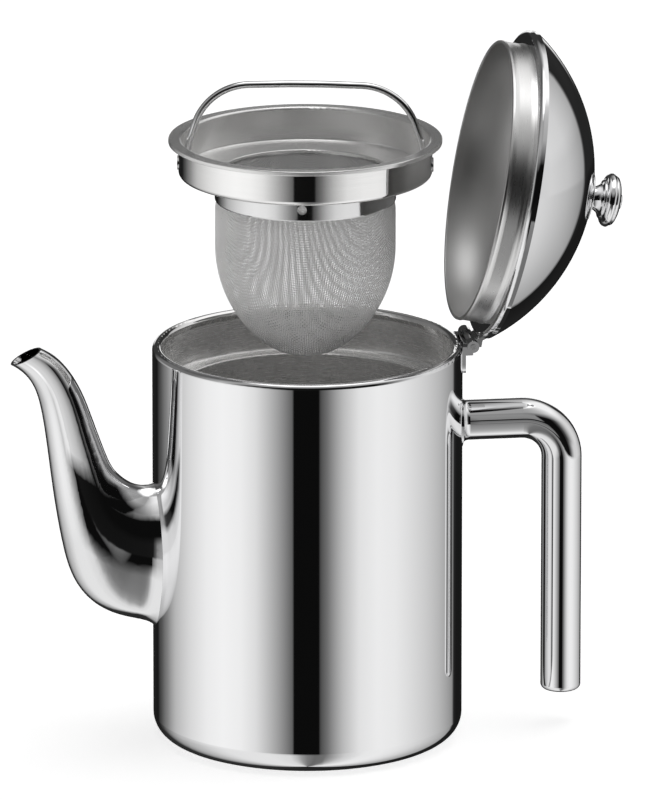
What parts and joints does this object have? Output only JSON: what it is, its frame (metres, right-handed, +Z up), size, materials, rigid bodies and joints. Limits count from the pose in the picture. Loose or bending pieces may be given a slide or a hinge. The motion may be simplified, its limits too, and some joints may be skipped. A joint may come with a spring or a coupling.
{
  "type": "teapot infuser",
  "caption": "Stainless steel teapot with a gooseneck spout, tube handle and hinged domed lid, and a lift-out flanged infuser with a woven wire basket and a wire bail.",
  "frame": {"origin": "centre of the pot's flat base", "axes": "+Z up; the spout points along -X; the handle and the lid's hinge are on the +X side"},
  "size_m": [0.2222, 0.112, 0.2578],
  "materials": {
    "polished": "mirror-polished stainless steel",
    "satin": "satin-brushed stainless steel",
    "woven_wire": "woven stainless wire cloth",
    "fastener": "plain stainless"
  },
  "bodies": {
    "pot": {"outer_shell": "polished", "inner_liner": "satin", "base_disc": "polished", "spout": "polished", "spout_port_sleeve": "satin", "handle_tube": "polished", "handle_boss": "polished", "handle_end_cap": "polished", "hinge_bracket": "polished", "hinge_pin": "polished"},
    "lid": {"lid_dome": "polished", "lid_collar": "satin", "lid_inner_pan": "satin", "lid_hinge_leaf": "polished", "knob_rose": "polished", "knob": "polished", "knob_button": "satin", "knob_stud": "fastener", "knob_washer": "fastener", "knob_nut": "fastener"},
    "infuser": {"infuser_collar": "satin", "basket_ring": "satin", "mesh_basket": "woven_wire", "eyelet_left": "satin", "eyelet_right": "satin"},
    "bail": {"bail": "polished"}
  },
  "joints": [
    {"name": "lid_hinge", "type": "hinge", "parent": "pot", "child": "lid", "pos_m": [0.0588, 0, 0.1456], "axis": [0, 1, 0], "range_deg": [-101, 0]},
    {"name": "infuser_lift", "type": "slide", "parent": "pot", "child": "infuser", "axis": [0, 0, 1], "range_m": [-0.0915, 0]},
    {"name": "bail_swing", "type": "hinge", "parent": "infuser", "child": "bail", "pos_m": [-0.0007, 0, 0.2132], "axis": [0.9848, -0.1736, 0], "range_deg": [-90, 90]}
  ],
  "couplings": [
    {"joint": "infuser_lift", "follows": "lid_hinge", "m_per_rad": 0.0519}
  ]
}
